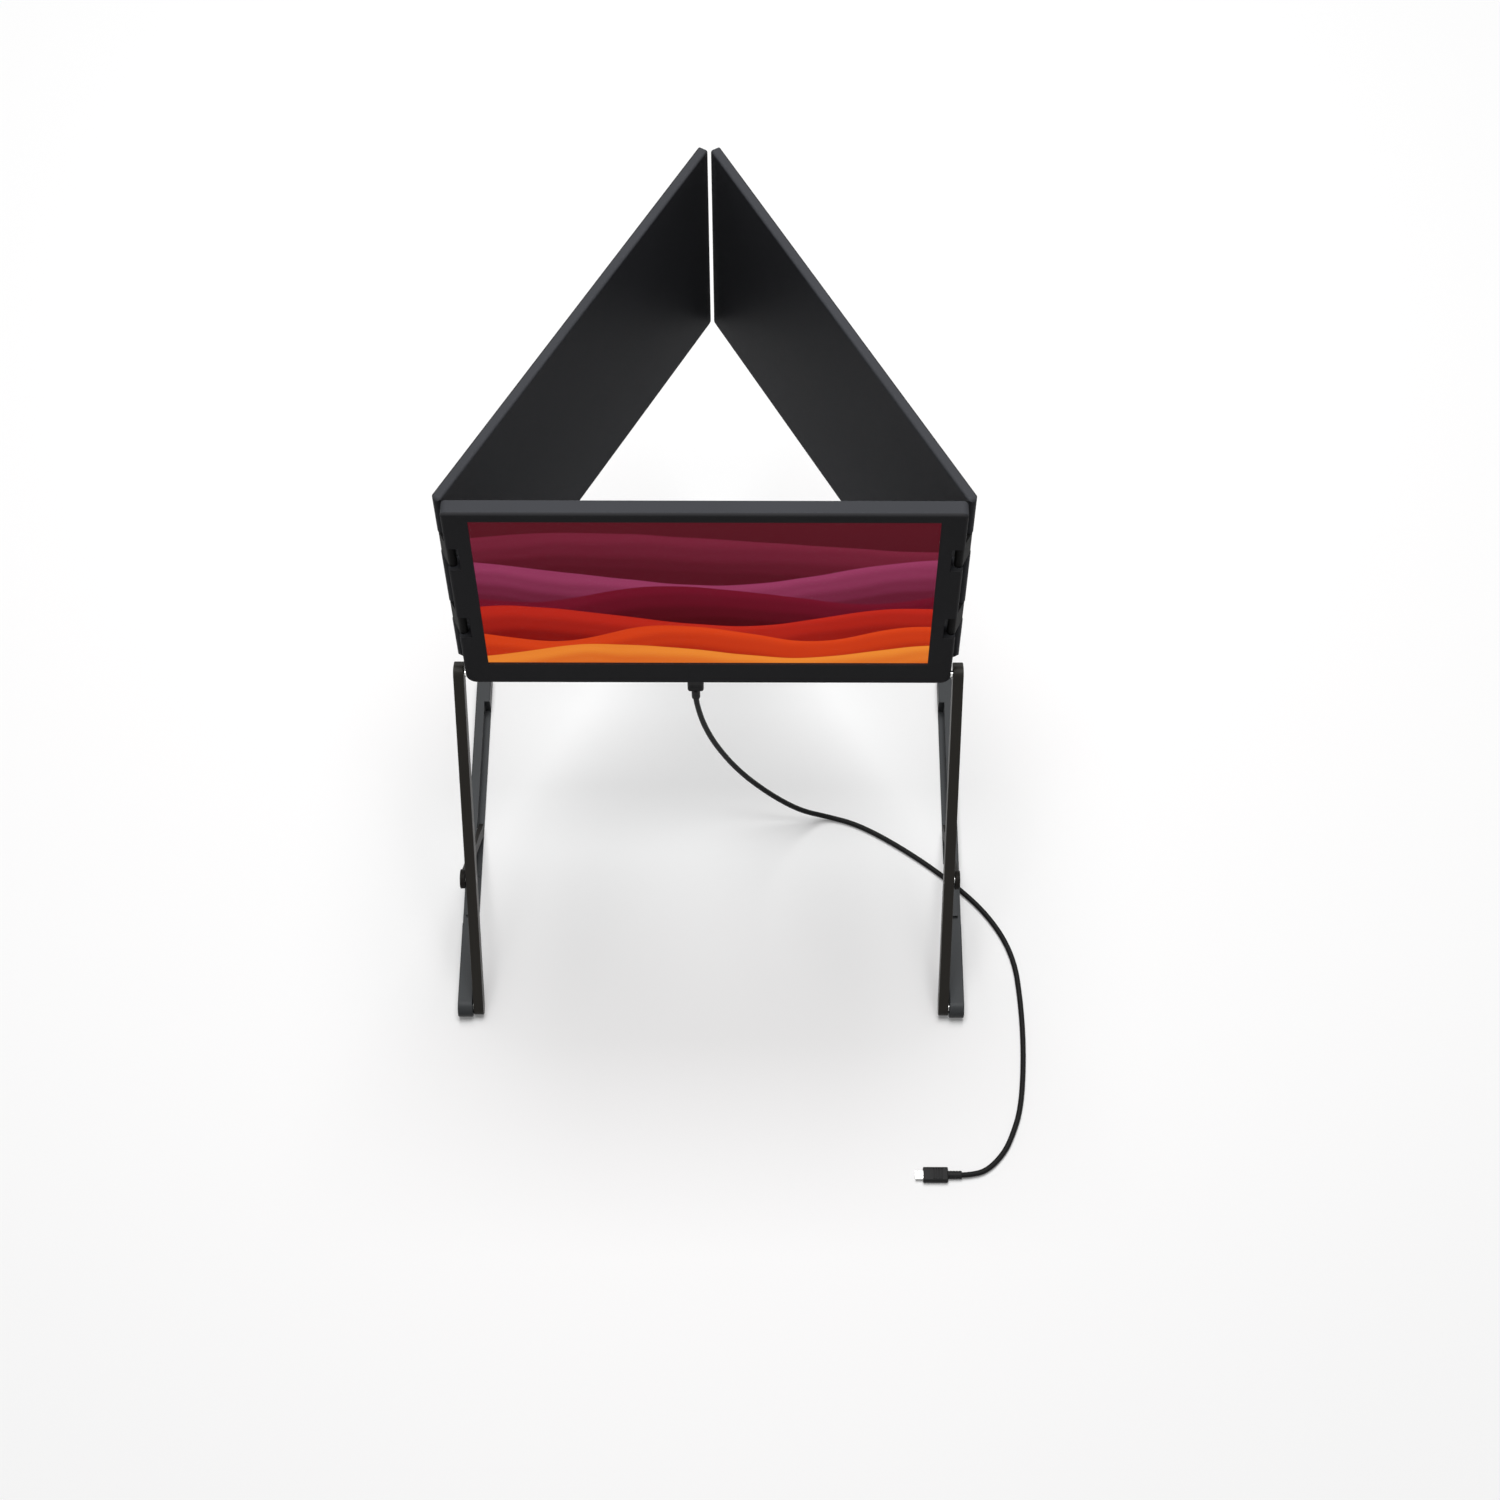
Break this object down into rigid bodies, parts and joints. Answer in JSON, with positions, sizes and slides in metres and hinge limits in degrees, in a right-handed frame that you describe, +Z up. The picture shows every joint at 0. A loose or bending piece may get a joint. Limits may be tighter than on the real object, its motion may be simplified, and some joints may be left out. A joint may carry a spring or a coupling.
{
  "type": "laptop screen extender",
  "caption": "Free-standing laptop screen extender: a centre screen with a hinged side screen on each edge, on folding strutted side legs, with a USB-C lead.",
  "frame": {"origin": "on the table, midway between the legs and midway between the front of the feet and the back of the side screens", "axes": "+X to the user's right, across the centre screen; +Y away from the user; +Z up"},
  "size_m": [0.4833, 0.6621, 0.5241],
  "materials": {
    "case_plastic": "fine matt black",
    "bezel_plastic": "matt black",
    "display_glass": "clear with a low-glare coating",
    "lcd_panel": "lit picture, soft gloss",
    "backlight": "white diffuser",
    "circuit_board": "green solder mask",
    "steel": "satin",
    "dark_steel": "blackened",
    "leg_aluminium": "black anodised, fine satin",
    "foot_aluminium": "dark grey anodised, fine satin",
    "hinge_metal": "smooth black",
    "rubber": "matt",
    "key_plastic": "smooth matt",
    "cable_sheath": "matt",
    "plug_moulding": "matt"
  },
  "bodies": {
    "screen": {"centre_rear_cover": "case_plastic", "centre_front_bezel": "bezel_plastic", "centre_display_glass": "display_glass", "centre_lcd_panel": "lcd_panel", "centre_backlight": "backlight", "centre_driver_board": "circuit_board", "centre_port_board": "circuit_board", "usb_c_socket": "steel", "rear_cover_screws": "dark_steel", "right_leg_bush": "steel", "left_leg_bush": "steel", "right_centre_hinge_pins": "steel", "left_centre_hinge_pins": "steel", "panel_plug_shell": "steel", "panel_plug_body": "plug_moulding", "panel_plug_relief": "plug_moulding", "cable": "cable_sheath", "far_plug_relief": "plug_moulding", "far_plug_body": "plug_moulding", "far_plug_shell": "steel"},
    "right_hinge": {"right_upper_hinge_link": "hinge_metal", "right_lower_hinge_link": "hinge_metal"},
    "right_screen": {"right_screen_rear_cover": "case_plastic", "right_screen_front_bezel": "bezel_plastic", "right_screen_display_glass": "display_glass", "right_screen_lcd_panel": "lcd_panel", "right_screen_backlight": "backlight", "right_screen_driver_board": "circuit_board", "right_screen_hinge_pins": "steel"},
    "right_arm": {"right_leg_arm": "leg_aluminium", "right_panel_pivot_pin": "steel", "right_foot_pivot_pin": "dark_steel", "right_strut_pivot_pin": "dark_steel", "right_leg_washers": "steel"},
    "right_foot": {"right_foot_bar": "foot_aluminium", "right_foot_pads": "rubber"},
    "right_strut": {"right_strut": "leg_aluminium", "right_strut_slide_pin": "steel"},
    "left_hinge": {"left_upper_hinge_link": "hinge_metal", "left_lower_hinge_link": "hinge_metal"},
    "left_screen": {"left_screen_rear_cover": "case_plastic", "left_screen_front_bezel": "bezel_plastic", "left_screen_display_glass": "display_glass", "left_screen_lcd_panel": "lcd_panel", "left_screen_backlight": "backlight", "left_screen_driver_board": "circuit_board", "left_screen_hinge_pins": "steel"},
    "left_arm": {"left_leg_arm": "leg_aluminium", "left_panel_pivot_pin": "steel", "left_foot_pivot_pin": "dark_steel", "left_strut_pivot_pin": "dark_steel", "left_leg_washers": "steel"},
    "left_foot": {"left_foot_bar": "foot_aluminium", "left_foot_pads": "rubber"},
    "left_strut": {"left_strut": "leg_aluminium", "left_strut_slide_pin": "steel"},
    "power_key": {"power_key": "key_plastic"},
    "menu_key": {"menu_key": "key_plastic"}
  },
  "joints": [
    {"name": "right_hinge_swing", "type": "hinge", "parent": "screen", "child": "right_hinge", "pos_m": [0.1887, -0.09156, 0.41905], "axis": [0, 0, 1], "range_deg": [-153.63, 0]},
    {"name": "right_screen_swing", "type": "hinge", "parent": "right_hinge", "child": "right_screen", "pos_m": [0.1945, -0.07986, 0.41905], "axis": [0, 0, 1], "range_deg": [-145.95, 0]},
    {"name": "right_arm_swing", "type": "hinge", "parent": "screen", "child": "right_arm", "pos_m": [0.19795, -0.09206, 0.29705], "axis": [1, 0, 0], "range_deg": [-145.8, 28.55], "deforming": ["cable"]},
    {"name": "right_foot_fold", "type": "hinge", "parent": "right_arm", "child": "right_foot", "pos_m": [0.209, -0.24849, 0.00955], "axis": [1, 0, 0], "range_deg": [0, 61.45], "deforming": ["cable"]},
    {"name": "right_strut_swing", "type": "hinge", "parent": "right_arm", "child": "right_strut", "pos_m": [0.2052, -0.18602, 0.12436], "axis": [1, 0, 0], "range_deg": [0, 107.94], "deforming": ["cable"]},
    {"name": "left_hinge_swing", "type": "hinge", "parent": "screen", "child": "left_hinge", "pos_m": [-0.1887, -0.09156, 0.41905], "axis": [0, 0, 1], "range_deg": [0, 153.63]},
    {"name": "left_screen_swing", "type": "hinge", "parent": "left_hinge", "child": "left_screen", "pos_m": [-0.1945, -0.07986, 0.41905], "axis": [0, 0, 1], "range_deg": [0, 145.95]},
    {"name": "left_arm_swing", "type": "hinge", "parent": "screen", "child": "left_arm", "pos_m": [-0.19795, -0.09206, 0.29705], "axis": [-1, 0, 0], "range_deg": [-28.55, 145.8]},
    {"name": "left_foot_fold", "type": "hinge", "parent": "left_arm", "child": "left_foot", "pos_m": [-0.209, -0.24849, 0.00955], "axis": [1, 0, 0], "range_deg": [0, 61.45]},
    {"name": "left_strut_swing", "type": "hinge", "parent": "left_arm", "child": "left_strut", "pos_m": [-0.2052, -0.18602, 0.12436], "axis": [1, 0, 0], "range_deg": [0, 107.94]},
    {"name": "power_key_press", "type": "slide", "parent": "screen", "child": "power_key", "axis": [0, 0, 1], "range_m": [0, 0.0005], "stiffness_N_per_m": 1500, "springref_m": -0.0002},
    {"name": "menu_key_press", "type": "slide", "parent": "screen", "child": "menu_key", "axis": [0, 0, 1], "range_m": [0, 0.0005], "stiffness_N_per_m": 1500, "springref_m": -0.0002}
  ],
  "couplings": [
    {"joint": "right_strut_swing", "follows": "right_foot_fold", "ratio": 1.7565},
    {"joint": "left_strut_swing", "follows": "left_foot_fold", "ratio": 1.7565}
  ]
}
